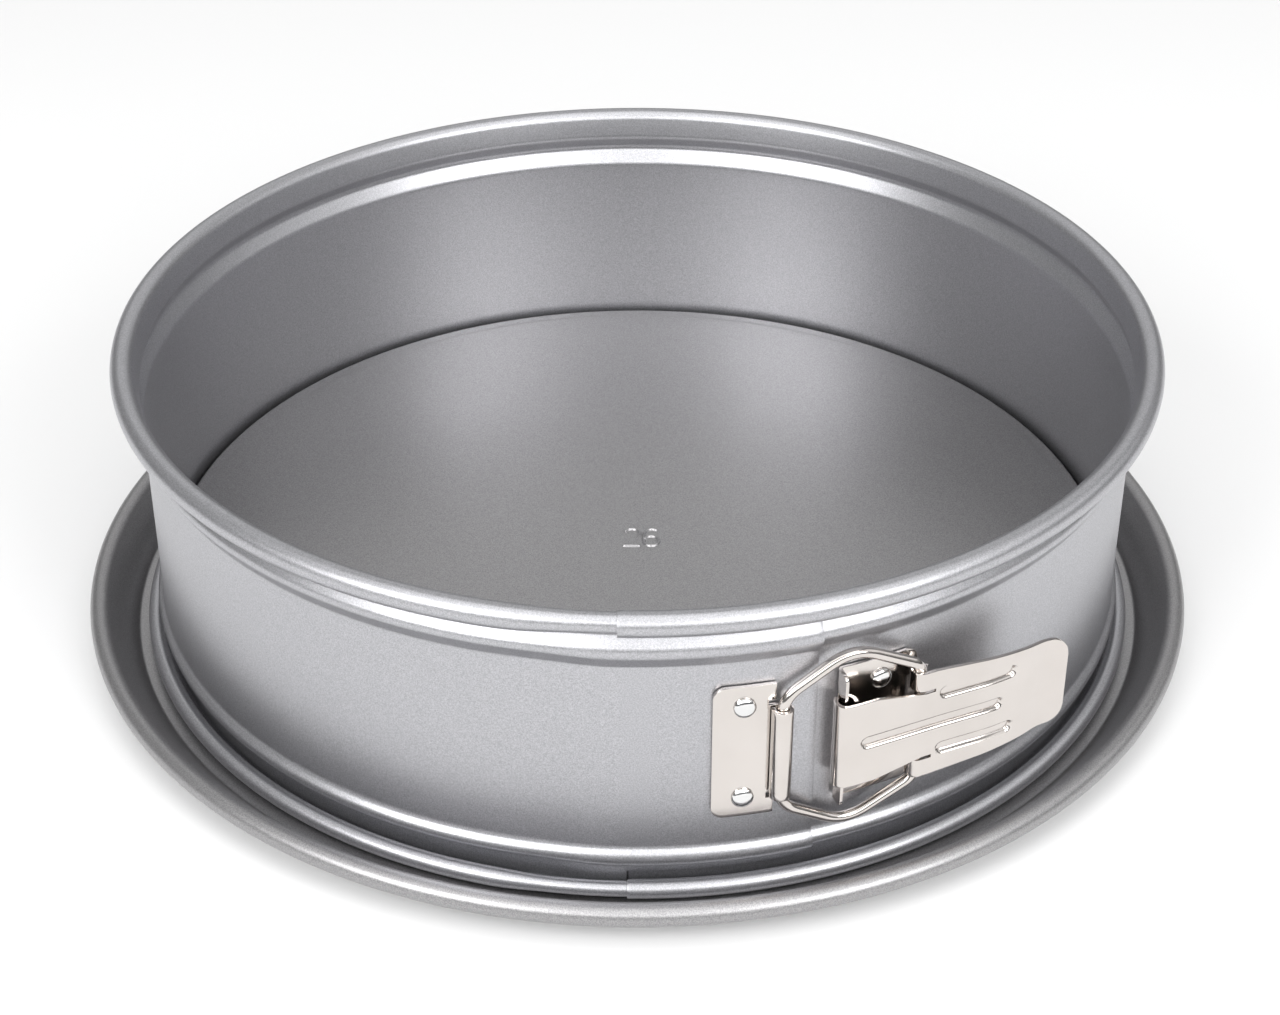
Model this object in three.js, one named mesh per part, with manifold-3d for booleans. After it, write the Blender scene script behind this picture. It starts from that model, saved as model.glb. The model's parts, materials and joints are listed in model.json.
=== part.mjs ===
// Springform pan: a coated steel ring that a toggle latch pulls shut round a raised base plate.
// Units are millimetres. +Z is up and z = 0 is the table that the base plate stands on.
// Azimuth 0 faces -Y and grows towards +X, so a point on a circle is (r sin a, -r cos a).

import * as THREE from 'three';
import { mergeVertices } from 'three/addons/utils/BufferGeometryUtils.js';
import Module from 'manifold-3d';

const wasm = await Module();
wasm.setup();

const radians = (angle) => angle * Math.PI / 180;
const degrees = (angle) => angle * 180 / Math.PI;

// Whole pan
const SEGMENTS = 48; // facets round a full turn
const GAP = 0.3; // clearance between pieces that touch
const FLOOR_Z = 17.4; // top of the raised floor

// Base plate
const BASE_SHEET = 0.7;
const FLOOR_RADIUS = 129.35; // outside of the raised floor's skirt
const FLOOR_BORDER_RADIUS = 126.2; // where the floor drops to its lower border
const FLOOR_BORDER_DROP = 0.2;
const FLOOR_EDGE_BEND = 1.2;
const SKIRT_BEND = 0.9;
const RIM_FOOT_RADIUS = 139.5; // outer edge of the flat ring that stands on the table
const RIM_SLOPE = 52.6; // degrees
const RIM_ROLL_RADIUS = 149.8; // distance from the pan's axis to the middle of the roll
const RIM_ROLL_Z = 8.7;
const RIM_ROLL_BEND = 2.55;

// Ring
const RING_SHEET = 0.6;
const WALL_RADIUS = 131.9; // middle of the sheet
const TOP_ROLL_RADIUS = 136;
const TOP_ROLL_Z = 82.1;
const TOP_ROLL_BEND = 2.8;
const TOP_ROLL_START = 167; // degrees round the roll, where the sloping collar runs into it
const STEP_Z = 68.4; // where the wall starts to lean out
const STEP_BEND = 3;
const BULGE_RADIUS = 134.9; // widest place below the top roll
const BULGE_Z = 73;
const BULGE_BEND = 2.2;
const COLLAR_RADIUS = 132; // narrowest place above the bulge
const COLLAR_Z = 77.2;
const COLLAR_BEND = 2;
const COLLAR_SLOPE = Math.tan(radians(180 - TOP_ROLL_START));
const BEAD_RADIUS = 131.6; // middle of the bead's bend
const BEAD_Z = 11.7;
const BEAD_BEND = 1.9;
const BEAD_FLARE_Z = 15.4;
const BEAD_FLARE_BEND = 3;
const NECK_RADIUS = 130.7;
const NECK_TOP_Z = 8.55;
const FOOT_BEND = 2.1;
const FOOT_Z = 3.4;
const FOOT_ROLL_RADIUS = 134.9;

// Where the ring's strip is cut, in degrees of azimuth
const SEAM = 18.25; // outer end of the strip
const TONGUE_END = -1; // inner end, tucked under the outer one
const LAP_OFFSET = RING_SHEET + GAP; // how far the outer end stands out over the inner one
const LAP_BOTTOM_Z = 6.4;
const LAP_TOP_Z = 78.7;
const BACK = 198.5; // the spring bend, opposite the seam
const BACK_HALF = 8;
const CUT = 0.07; // half of the clearance at a cut

// Latch
const LATCH_Z = 42.7; // middle height
const LATCH_SHEET = 1;
const PLATE_HALF = 18.9; // half height of both riveted plates
const RIVET_OFFSET = 13.2;
const RIVET_SHANK = 1;
const RIVET_HOLE = 1.35;
const RIVET_HEAD = 2.7;
const RIVET_DOME = 1.3;
const WIRE_RADIUS = 1.2;

const KEEPER_RADIUS = WALL_RADIUS + LAP_OFFSET + RING_SHEET / 2 + GAP; // inner face of the plate
const KEEPER_RIVETS = 10.54;
const KEEPER_HALF_WIDTH = 7.4;
const KNUCKLE = 14.19; // azimuth of the knuckle that holds the bail
const KNUCKLE_BEND = 2.1;
const KNUCKLE_RADIUS = KEEPER_RADIUS + LATCH_SHEET / 2 + KNUCKLE_BEND;
const KNUCKLE_HALF = 12.8;
const KNUCKLE_LEAD = 4.5; // flat sheet that runs into the knuckle
const RELIEF_START = 5.6; // slots above and below the knuckle, from the rivets
const RELIEF_Z = 13.6;
const RELIEF_HALF = 0.8;

const BRACKET_SHEET = 0.8;
const BRACKET_RADIUS = WALL_RADIUS + RING_SHEET / 2 + GAP;
const BRACKET_RIVETS = 25.14;
const BRACKET_END = 29.38;
const PIVOT = 20.65; // azimuth of the lever's pivot
const PIVOT_RADIUS = 136.55;
const FLANGE_SHEET = 1;
const FLANGE_REACH = 1.1; // how far the flange passes the pivot
const WINDOW_HALF = 12.3;

const CURL_BEND = 2.4; // lever's curl round the flange
const NARROW_HALF = 11.7; // lever's half height at the curl
const SHOULDER_HALF = 9.3; // and just before the ears
const WIDE_HALF = 15.2; // at the ears
const TIP_HALF = 12.5; // at the handle's end
const EAR_INNER = 10.2;
const EAR = 28.86; // azimuth of the curled ears
const EAR_RADIUS = 137;
const EAR_BEND = 2;
const EAR_LEAD = 2.2; // flat sheet that runs into an ear's curl
const SLOT_END = [29.9, 139.2]; // end of the slot beside an ear, as azimuth and distance
const TIP_CORNER = 5;
const LEVER_MIDDLE = 33.06;
const RIB_HALF = 2;
const RIB_HEIGHT = 1;
const RIB_SPACING = 8.2;
const MIDDLE_RIB = [21.8, 37.8]; // azimuths of its ends
const SIDE_RIB = [30.3, 39.2];
const RIB_RADII = [139.3, 141.5]; // distances of a rib's ends from the pan's axis

// Bail's arms
const ARM_BEND_REACH = 17; // distance from the knuckle
const ARM_BEND_HALF = 25.6;
const ARM_BEND = 6.5;
const ARM_START_HALF = 15.6;
const ARM_START_BEND = 4.5;
const ARM_END_HALF = 17.2;

// The lever's sheet beyond its curl, as azimuth and distance from the pan's axis
const LEVER_LINE = [
  [23.67, 138.8],
  [28.11, 138.9],
  [30.59, 139.3],
  [33.56, 140.3],
  [36.53, 141.6],
  [40, 142.7],
  [42.77, 143.1],
  [45.01, 145.8],
];

const COATED_STEEL = { color: 0x9fa1a4, roughness: 0.42, metalness: 0.75 };
const NICKEL = { color: 0xd8d0c4, roughness: 0.16, metalness: 1 };

const vec = (x, y) => new THREE.Vector2(x, y);
const outward = (azimuth) => vec(Math.sin(radians(azimuth)), -Math.cos(radians(azimuth)));
const along = (azimuth) => vec(Math.cos(radians(azimuth)), Math.sin(radians(azimuth)));
const polar = (azimuth, radius) => outward(azimuth).multiplyScalar(radius);

// A point given by its offset along and out from a place on a circle round the pan's axis.
function local(azimuth, radius, side, out) {
  return polar(azimuth, radius + out).addScaledVector(along(azimuth), side);
}

// Points on an arc, angles in degrees from the first axis.
function arc(x, y, radius, from, to, steps) {
  const points = [];
  for (let i = 0; i <= steps; i += 1) {
    const angle = radians(from + (to - from) * i / steps);
    points.push(vec(x + radius * Math.cos(angle), y + radius * Math.sin(angle)));
  }
  return points;
}

// An open line bent at its corners. A corner is its place and its bend's radius, 0 for none.
function bent(corners, steps) {
  const places = corners.map(([x, y]) => vec(x, y));
  return places.flatMap((corner, i) => {
    const bend = corners[i][2];
    if (bend === 0) {
      return [corner];
    }
    const into = corner.clone().sub(places[i - 1]).normalize();
    const onward = places[i + 1].clone().sub(corner).normalize();
    const turn = Math.acos(into.dot(onward));
    const side = Math.sign(into.cross(onward));
    const centre = onward.clone().sub(into).setLength(bend / Math.cos(turn / 2)).add(corner);
    const start = Math.atan2(-side * into.x, side * into.y);
    return arc(centre.x, centre.y, bend, degrees(start), degrees(start + side * turn), steps);
  });
}

// The line a fixed distance to the left of an open line.
function shifted(line, distance) {
  return line.map((point, i) => {
    const before = line[Math.max(i - 1, 0)];
    const after = line[Math.min(i + 1, line.length - 1)];
    const into = i > 0 ? point.clone().sub(before).normalize() : after.clone().sub(point).normalize();
    const onward = i < line.length - 1 ? after.clone().sub(point).normalize() : into;
    const normal = vec(-into.y - onward.y, into.x + onward.x).normalize();
    const stretch = normal.dot(vec(-into.y, into.x));
    return point.clone().addScaledVector(normal, distance / stretch);
  });
}

// Closed outline of a sheet bent along an open line through its middle.
function sheet(line, thickness) {
  return shifted(line, thickness / 2).concat(shifted(line, -thickness / 2).reverse());
}

function solid(geometry) {
  const bare = geometry.clone();
  bare.deleteAttribute('normal');
  bare.deleteAttribute('uv');
  const merged = mergeVertices(bare, 1e-4);
  const corners = merged.index.array;
  const triangles = [];
  for (let i = 0; i < corners.length; i += 3) {
    const [a, b, c] = [corners[i], corners[i + 1], corners[i + 2]];
    if (a !== b && b !== c && c !== a) {
      triangles.push(a, b, c);
    }
  }
  const vertProperties = new Float32Array(merged.attributes.position.array);
  const triVerts = new Uint32Array(triangles);
  return new wasm.Manifold(new wasm.Mesh({ numProp: 3, vertProperties, triVerts }));
}

// Solid of revolution round the pan's axis from a closed outline of radius and height.
function turned(outline) {
  const points = THREE.ShapeUtils.isClockWise(outline) ? outline.slice().reverse() : outline.slice();
  const closed = points.concat([points[0].clone()]);
  return new THREE.LatheGeometry(closed, SEGMENTS).rotateX(Math.PI / 2);
}

// Upright prism with a plan outline, between two heights.
function upright(outline, bottom, top) {
  const geometry = new THREE.ExtrudeGeometry(new THREE.Shape(outline), {
    depth: top - bottom,
    bevelEnabled: false,
  });
  return solid(geometry.translate(0, 0, bottom));
}

// Prism that runs out from the pan's axis. Its outline is drawn looking at the latch from outside,
// as the offset along the ring and the height above the latch's middle.
function radial(outline, azimuth, inner = 120, outer = 160) {
  const shape = new THREE.Shape(outline);
  const geometry = new THREE.ExtrudeGeometry(shape, { depth: outer - inner, bevelEnabled: false });
  geometry.translate(0, 0, inner);
  geometry.rotateX(Math.PI / 2);
  geometry.rotateZ(radians(azimuth));
  return solid(geometry.translate(0, 0, LATCH_Z));
}

// The slice of space between two azimuths.
function sector(from, to) {
  const outline = [vec(0, 0)];
  const steps = Math.ceil((to - from) / 30);
  for (let i = 0; i <= steps; i += 1) {
    outline.push(polar(from + (to - from) * i / steps, 300));
  }
  return upright(outline, -20, 120);
}

function rectangle(left, bottom, right, top) {
  return [vec(left, bottom), vec(right, bottom), vec(right, top), vec(left, top)];
}

// Rectangle with a corner radius on its left side, its right side or both.
function rounded(left, bottom, right, top, leftRadius, rightRadius) {
  const steps = 3;
  const outline = [];
  const corner = (x, y, radius, from) => {
    if (radius > 0) {
      outline.push(...arc(x, y, radius, from, from + 90, steps));
    } else {
      outline.push(vec(x, y));
    }
  };
  corner(left + leftRadius, bottom + leftRadius, leftRadius, 180);
  corner(right - rightRadius, bottom + rightRadius, rightRadius, 270);
  corner(right - rightRadius, top - rightRadius, rightRadius, 0);
  corner(left + leftRadius, top - leftRadius, leftRadius, 90);
  return outline;
}

const hole = (azimuth, height) => radial(arc(0, height, RIVET_HOLE, 0, 330, 11), azimuth);

// Base plate: raised floor, skirt, flat foot ring and a sloping rim with a rolled edge.
function basePlate() {
  const floor = FLOOR_Z - BASE_SHEET / 2;
  const border = floor - FLOOR_BORDER_DROP;
  const skirt = FLOOR_RADIUS - BASE_SHEET / 2;
  const foot = BASE_SHEET / 2;
  const footBend = 1.5;
  const line = [
    vec(0, floor),
    vec(FLOOR_BORDER_RADIUS, floor),
    vec(FLOOR_BORDER_RADIUS + 0.5, border),
    ...arc(skirt - FLOOR_EDGE_BEND, border - FLOOR_EDGE_BEND, FLOOR_EDGE_BEND, 90, 0, 2),
    ...arc(skirt + SKIRT_BEND, foot + SKIRT_BEND, SKIRT_BEND, 180, 270, 1),
    ...arc(RIM_FOOT_RADIUS, foot + footBend, footBend, -90, RIM_SLOPE - 90, 2),
    ...arc(RIM_ROLL_RADIUS, RIM_ROLL_Z, RIM_ROLL_BEND, 90 + RIM_SLOPE, -120, 7),
  ];
  return turned(sheet(line, BASE_SHEET));
}

// The ring's sheet from the free edge of its foot roll up to the free edge of its top roll.
const footLine = [
  ...arc(FOOT_ROLL_RADIUS, FOOT_Z, FOOT_BEND, 135, -90, 5),
  ...arc(NECK_RADIUS + FOOT_BEND, FOOT_Z, FOOT_BEND, 270, 180, 2),
];
const wallLine = [
  vec(NECK_RADIUS, NECK_TOP_Z),
  ...arc(BEAD_RADIUS, BEAD_Z, BEAD_BEND, -65, 40, 3),
  ...arc(WALL_RADIUS + BEAD_FLARE_BEND, BEAD_FLARE_Z, BEAD_FLARE_BEND, 220, 180, 2),
  ...bent([
    [WALL_RADIUS, STEP_Z - STEP_BEND, 0],
    [WALL_RADIUS, STEP_Z, STEP_BEND],
    [BULGE_RADIUS, BULGE_Z, BULGE_BEND],
    [COLLAR_RADIUS, COLLAR_Z, COLLAR_BEND],
    [COLLAR_RADIUS + (LAP_TOP_Z - COLLAR_Z) * COLLAR_SLOPE, LAP_TOP_Z, 0],
  ], 2),
];
const topLine = arc(TOP_ROLL_RADIUS, TOP_ROLL_Z, TOP_ROLL_BEND, TOP_ROLL_START, -105, 7);

// The outer end of the strip stops short of both rolls, so that it slides between them.
const lapLine = shifted([
  vec(NECK_RADIUS, LAP_BOTTOM_Z),
  ...wallLine,
], -LAP_OFFSET);
const joggleLine = shifted(lapLine, LAP_OFFSET / 2);

const ringSolid = solid(turned(sheet([...footLine, ...wallLine, ...topLine], RING_SHEET)));
const lapSolid = solid(turned(sheet(lapLine, RING_SHEET)));
const joggleSolid = solid(turned(sheet(joggleLine, RING_SHEET + LAP_OFFSET)));

function ringLeft() {
  const leftEnd = TONGUE_END - 2 * CUT;
  const body = ringSolid.intersect(sector(BACK + BACK_HALF + CUT - 360, leftEnd));
  const joggle = joggleSolid.intersect(sector(leftEnd - 2, leftEnd));
  const lap = lapSolid.intersect(sector(leftEnd - 2, SEAM));
  return body.add(joggle).add(lap)
    .subtract(hole(KEEPER_RIVETS, RIVET_OFFSET))
    .subtract(hole(KEEPER_RIVETS, -RIVET_OFFSET));
}

function ringRight() {
  return ringSolid.intersect(sector(TONGUE_END, BACK - BACK_HALF - CUT))
    .subtract(hole(BRACKET_RIVETS, RIVET_OFFSET))
    .subtract(hole(BRACKET_RIVETS, -RIVET_OFFSET));
}

const ringBack = () => ringSolid.intersect(sector(BACK - BACK_HALF + CUT, BACK + BACK_HALF - CUT));

// Keeper: a riveted plate whose right edge is rolled into a knuckle for the bail's wire.
function keeperPlate() {
  const band = rectangle(KEEPER_RADIUS, 0, KEEPER_RADIUS + LATCH_SHEET, 100);
  const outline = rounded(-KEEPER_HALF_WIDTH, -PLATE_HALF, KEEPER_HALF_WIDTH, PLATE_HALF, 3, 0);
  const fall = KNUCKLE_LEAD ** 2 / (2 * KEEPER_RADIUS); // how far the plate curves away from the lead
  const line = [
    vec(-KNUCKLE_LEAD, -KNUCKLE_BEND - fall),
    ...arc(0, 0, KNUCKLE_BEND, -90, 205, 9),
  ].map((point) => local(KNUCKLE, KNUCKLE_RADIUS, point.x, point.y));
  const knuckle = upright(sheet(line, LATCH_SHEET), LATCH_Z - KNUCKLE_HALF, LATCH_Z + KNUCKLE_HALF);
  const relief = (middle) => radial(
    rectangle(RELIEF_START, middle - RELIEF_HALF, KEEPER_HALF_WIDTH + 1, middle + RELIEF_HALF),
    KEEPER_RIVETS,
  );
  return solid(turned(band)).intersect(radial(outline, KEEPER_RIVETS))
    .subtract(relief(RELIEF_Z))
    .subtract(relief(-RELIEF_Z))
    .add(knuckle)
    .subtract(hole(KEEPER_RIVETS, RIVET_OFFSET))
    .subtract(hole(KEEPER_RIVETS, -RIVET_OFFSET));
}

// Rivet with a domed head outside and, where there is room, a low head inside. It stands on +Y.
function rivet(innerRadius, seatRadius, innerHead) {
  const outline = [vec(0, innerRadius)];
  if (innerHead > 0) {
    outline.push(vec(innerHead, innerRadius), vec(innerHead, innerRadius + 0.5));
    outline.push(vec(RIVET_SHANK, innerRadius + 0.5));
  } else {
    outline.push(vec(RIVET_SHANK, innerRadius));
  }
  outline.push(vec(RIVET_SHANK, seatRadius), vec(RIVET_HEAD, seatRadius));
  outline.push(vec(RIVET_HEAD * 0.92, seatRadius + RIVET_DOME * 0.45));
  outline.push(vec(RIVET_HEAD * 0.55, seatRadius + RIVET_DOME * 0.88));
  outline.push(vec(0, seatRadius + RIVET_DOME));
  return new THREE.LatheGeometry(outline, 12);
}

// Bracket: a riveted plate with a flange on its left edge. The flange's outer bar, left standing
// beyond a window, is the pin that the lever's curl turns on.
function latchBracket() {
  const band = rectangle(BRACKET_RADIUS, 0, BRACKET_RADIUS + BRACKET_SHEET, 100);
  const middle = (PIVOT + BRACKET_END) / 2;
  const halfWidth = BRACKET_RADIUS * Math.sin(radians((BRACKET_END - PIVOT) / 2));
  const plate = solid(turned(band)).intersect(
    radial(rounded(-halfWidth, -PLATE_HALF, halfWidth, PLATE_HALF, 0, 3), middle),
  );
  const root = BRACKET_RADIUS + 0.1;
  const edge = PIVOT_RADIUS + FLANGE_REACH;
  const flangeOutline = rounded(root, LATCH_Z - PLATE_HALF, edge, LATCH_Z + PLATE_HALF, 0, 1.5);
  const windowOutline = rectangle(
    BRACKET_RADIUS + BRACKET_SHEET,
    LATCH_Z - WINDOW_HALF,
    PIVOT_RADIUS - FLANGE_REACH,
    LATCH_Z + WINDOW_HALF,
  );
  const across = (outline, from, to) => {
    const geometry = new THREE.ExtrudeGeometry(new THREE.Shape(outline), {
      depth: to - from,
      bevelEnabled: false,
    });
    geometry.translate(0, 0, from);
    geometry.rotateX(Math.PI / 2);
    geometry.rotateZ(radians(PIVOT) - Math.PI / 2);
    return solid(geometry);
  };
  return plate.add(across(flangeOutline, -FLANGE_SHEET, 0))
    .subtract(across(windowOutline, -FLANGE_SHEET - 1, 1))
    .subtract(hole(BRACKET_RIVETS, RIVET_OFFSET))
    .subtract(hole(BRACKET_RIVETS, -RIVET_OFFSET));
}

const leverTail = LEVER_LINE.map(([azimuth, radius]) => polar(azimuth, radius));

// Lever: curled round the flange's bar, narrow up to two curled ears, then a wide ribbed handle.
function latchLever() {
  const side = (azimuth, radius) => radius * Math.sin(radians(azimuth - LEVER_MIDDLE));
  const curl = arc(0, 0, CURL_BEND, 385, 90, 9)
    .map((point) => local(PIVOT, PIVOT_RADIUS, point.x, point.y));
  const low = LATCH_Z - WIDE_HALF;
  const high = LATCH_Z + WIDE_HALF;
  const blank = upright(sheet([...curl, ...leverTail], LATCH_SHEET), low, high);

  const left = side(PIVOT, PIVOT_RADIUS) - 6;
  const ear = side(EAR, EAR_RADIUS);
  const slotEnd = side(...SLOT_END);
  const tip = side(...LEVER_LINE[LEVER_LINE.length - 1]) - 0.3;
  const upper = [
    vec(left, NARROW_HALF),
    vec(side(...LEVER_LINE[0]), NARROW_HALF),
    vec(ear, SHOULDER_HALF),
    vec(slotEnd, SHOULDER_HALF),
    vec(slotEnd, EAR_INNER),
    vec(ear, EAR_INNER),
    vec(ear, WIDE_HALF - 0.3),
    vec(slotEnd, WIDE_HALF - 0.3),
    ...arc(tip - TIP_CORNER, TIP_HALF - TIP_CORNER, TIP_CORNER, 90, 0, 4),
  ];
  const lower = upper.map((point) => vec(point.x, -point.y)).reverse();
  const face = radial([...lower, ...upper].reverse(), LEVER_MIDDLE);

  const earLine = [vec(EAR_LEAD, EAR_BEND), ...arc(0, 0, EAR_BEND, 90, 340, 8)]
    .map((point) => local(EAR, EAR_RADIUS, point.x, point.y));
  const earOutline = sheet(earLine, LATCH_SHEET);
  const topEar = upright(earOutline, LATCH_Z + EAR_INNER, high);
  const bottomEar = upright(earOutline, low, LATCH_Z - EAR_INNER);

  const rib = (height, from, to) => {
    const raised = shifted([...curl.slice(-1), ...leverTail], -RIB_HEIGHT / 2);
    const band = upright(sheet(raised, LATCH_SHEET + RIB_HEIGHT), low, high);
    const ends = [side(from, RIB_RADII[0]) + RIB_HALF, side(to, RIB_RADII[1]) - RIB_HALF];
    const outline = [
      ...arc(ends[1], height, RIB_HALF, -90, 90, 4),
      ...arc(ends[0], height, RIB_HALF, 90, 270, 4),
    ];
    return band.intersect(radial(outline, LEVER_MIDDLE));
  };
  return blank.intersect(face)
    .add(topEar)
    .add(bottomEar)
    .add(rib(0, ...MIDDLE_RIB))
    .add(rib(RIB_SPACING, ...SIDE_RIB))
    .add(rib(-RIB_SPACING, ...SIDE_RIB));
}

// Bail: one wire, held in the knuckle by its long leg, whose arms spread round the lever's bracket.
function bailWire() {
  const start = polar(KNUCKLE, KNUCKLE_RADIUS);
  const span = polar(EAR, EAR_RADIUS).sub(start);
  const reach = span.length();
  const direction = span.clone().normalize();
  const place = (distance, height) => new THREE.Vector3(
    start.x + direction.x * distance,
    start.y + direction.y * distance,
    LATCH_Z + height,
  );
  const corners = [
    [reach, ARM_END_HALF],
    [ARM_BEND_REACH, ARM_BEND_HALF],
    [0, ARM_START_HALF],
    [0, -ARM_START_HALF],
    [ARM_BEND_REACH, -ARM_BEND_HALF],
    [reach, -ARM_END_HALF],
  ].map(([distance, height]) => place(distance, height));
  const bends = [0, ARM_BEND, ARM_START_BEND, ARM_START_BEND, ARM_BEND, 0];
  const path = new THREE.CurvePath();
  let last = corners[0];
  for (let i = 1; i < corners.length - 1; i += 1) {
    const corner = corners[i];
    const back = corners[i - 1].clone().sub(corner).setLength(bends[i]).add(corner);
    const forward = corners[i + 1].clone().sub(corner).setLength(bends[i]).add(corner);
    path.add(new THREE.LineCurve3(last, back));
    path.add(new THREE.QuadraticBezierCurve3(back, corner, forward));
    last = forward;
  }
  path.add(new THREE.LineCurve3(last, corners[corners.length - 1]));
  const section = new THREE.Shape(arc(0, 0, WIRE_RADIUS, 0, 315, 7));
  return new THREE.ExtrudeGeometry(section, { steps: 36, extrudePath: path, bevelEnabled: false });
}

// The leg of the bail that lies in the lever's ears.
function bailLeg() {
  const place = polar(EAR, EAR_RADIUS);
  const geometry = new THREE.CylinderGeometry(WIRE_RADIUS, WIRE_RADIUS, 2 * WIDE_HALF + 0.4, 12);
  geometry.rotateX(Math.PI / 2);
  return geometry.translate(place.x, place.y, LATCH_Z);
}

function geometryOf(shape) {
  const { vertProperties, triVerts } = shape.getMesh();
  const geometry = new THREE.BufferGeometry();
  geometry.setAttribute('position', new THREE.BufferAttribute(new Float32Array(vertProperties), 3));
  geometry.setIndex(new THREE.BufferAttribute(new Uint32Array(triVerts), 1));
  geometry.computeVertexNormals();
  return geometry;
}

function piece(name, geometry, look) {
  const mesh = new THREE.Mesh(geometry, new THREE.MeshStandardMaterial(look));
  mesh.name = name;
  return mesh;
}

function rivetAt(name, geometry, azimuth, height) {
  const mesh = piece(name, geometry, NICKEL);
  mesh.position.set(0, 0, LATCH_Z + height);
  mesh.rotation.z = radians(azimuth) + Math.PI;
  return mesh;
}

const keeperRivet = rivet(KEEPER_RADIUS - GAP - RING_SHEET, KEEPER_RADIUS + LATCH_SHEET + GAP, 0);
const bracketRivet = rivet(
  WALL_RADIUS - RING_SHEET / 2 - GAP - 0.5,
  BRACKET_RADIUS + BRACKET_SHEET + GAP,
  2.1,
);

const ring = new THREE.Group();
ring.add(piece('ring_back', geometryOf(ringBack()), COATED_STEEL));
ring.add(piece('ring_left', geometryOf(ringLeft()), COATED_STEEL));
ring.add(piece('ring_right', geometryOf(ringRight()), COATED_STEEL));

const latch = new THREE.Group();
latch.add(piece('keeper_plate', geometryOf(keeperPlate()), NICKEL));
latch.add(rivetAt('keeper_rivet_top', keeperRivet, KEEPER_RIVETS, RIVET_OFFSET));
latch.add(rivetAt('keeper_rivet_bottom', keeperRivet, KEEPER_RIVETS, -RIVET_OFFSET));
latch.add(piece('bail_wire', bailWire(), NICKEL));
latch.add(piece('bail_leg', bailLeg(), NICKEL));
latch.add(piece('latch_bracket', geometryOf(latchBracket()), NICKEL));
latch.add(rivetAt('bracket_rivet_top', bracketRivet, BRACKET_RIVETS, RIVET_OFFSET));
latch.add(rivetAt('bracket_rivet_bottom', bracketRivet, BRACKET_RIVETS, -RIVET_OFFSET));
latch.add(piece('latch_lever', geometryOf(latchLever()), NICKEL));

const pan = new THREE.Group();
pan.name = 'springform_pan';
pan.add(piece('base_plate', basePlate(), COATED_STEEL));
pan.add(ring);
pan.add(latch);

export default pan;
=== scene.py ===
"""Springform pan: a coated ring with rolled edges that a nickel toggle latch closes round a raised base plate.

Lengths are millimetres until a mesh is made. Angles are degrees, and azimuth 0 faces -Y and grows towards +X.
Radii are from the pan's axis, or from the middle of a bend to the middle of its sheet.
"""

import json
import math

import bmesh
import bpy
import numpy as np
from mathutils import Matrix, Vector


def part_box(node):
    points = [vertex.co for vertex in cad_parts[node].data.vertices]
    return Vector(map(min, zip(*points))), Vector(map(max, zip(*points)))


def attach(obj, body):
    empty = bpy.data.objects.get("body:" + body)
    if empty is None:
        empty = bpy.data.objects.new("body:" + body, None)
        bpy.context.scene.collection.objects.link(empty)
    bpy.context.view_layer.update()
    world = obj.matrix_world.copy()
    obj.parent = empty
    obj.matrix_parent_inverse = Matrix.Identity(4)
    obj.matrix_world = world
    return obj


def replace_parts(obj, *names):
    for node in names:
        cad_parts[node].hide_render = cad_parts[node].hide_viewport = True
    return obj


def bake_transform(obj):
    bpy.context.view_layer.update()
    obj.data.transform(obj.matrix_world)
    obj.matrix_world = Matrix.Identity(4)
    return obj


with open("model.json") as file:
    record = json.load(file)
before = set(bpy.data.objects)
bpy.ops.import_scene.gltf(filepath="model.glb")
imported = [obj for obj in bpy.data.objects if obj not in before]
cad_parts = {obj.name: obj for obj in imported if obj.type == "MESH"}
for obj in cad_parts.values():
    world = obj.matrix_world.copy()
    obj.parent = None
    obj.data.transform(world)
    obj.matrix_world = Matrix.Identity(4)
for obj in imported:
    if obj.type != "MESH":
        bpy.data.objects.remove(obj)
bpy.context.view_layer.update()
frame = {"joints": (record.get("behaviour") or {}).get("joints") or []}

MM = 0.001
joint = {j["name"]: j for j in frame["joints"]}


def azimuth_of(point):
    return math.degrees(math.atan2(point[0], -point[1]))


def radius_of(point):
    return math.hypot(point[0], point[1]) / MM


# ---------------------------------------------------------------- sizes

FLOOR_Z = 17.4
BASE_SHEET = 0.7
BASE_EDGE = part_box("base_plate")[1].x / MM  # outside of the base's rolled rim
RIM_ROLL_BEND = 2.55
RIM_ROLL_RADIUS = BASE_EDGE - RIM_ROLL_BEND - BASE_SHEET / 2
RIM_ROLL_Z = 8.7
RIM_FOOT_RADIUS = 139.5
RIM_SLOPE = 52.6
FLOOR_RADIUS = 129.35  # the skirt below the floor
FLOOR_EDGE_RADIUS = 130.4  # the floor's lip, which all but meets the wall
FLOOR_LIP_START, FLOOR_LIP_END = 1.2, 4.2  # how far below the edge's bend the lip runs back to the skirt
FLOOR_BORDER_RADIUS = 126.2  # where the floor steps down to a flat border
FLOOR_BORDER_DROP = 0.2
FLOOR_BORDER_WIDTH = 2.0
FLOOR_BORDER_LEAD = 1.2  # how much of the step's width lies inside its radius
NUMERAL_Y = -9.2
NUMERAL_HALF = 0.62  # half the width of a stroke
NUMERAL_HEIGHT = 0.55
NUMERAL_SPACING = 0.16

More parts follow.
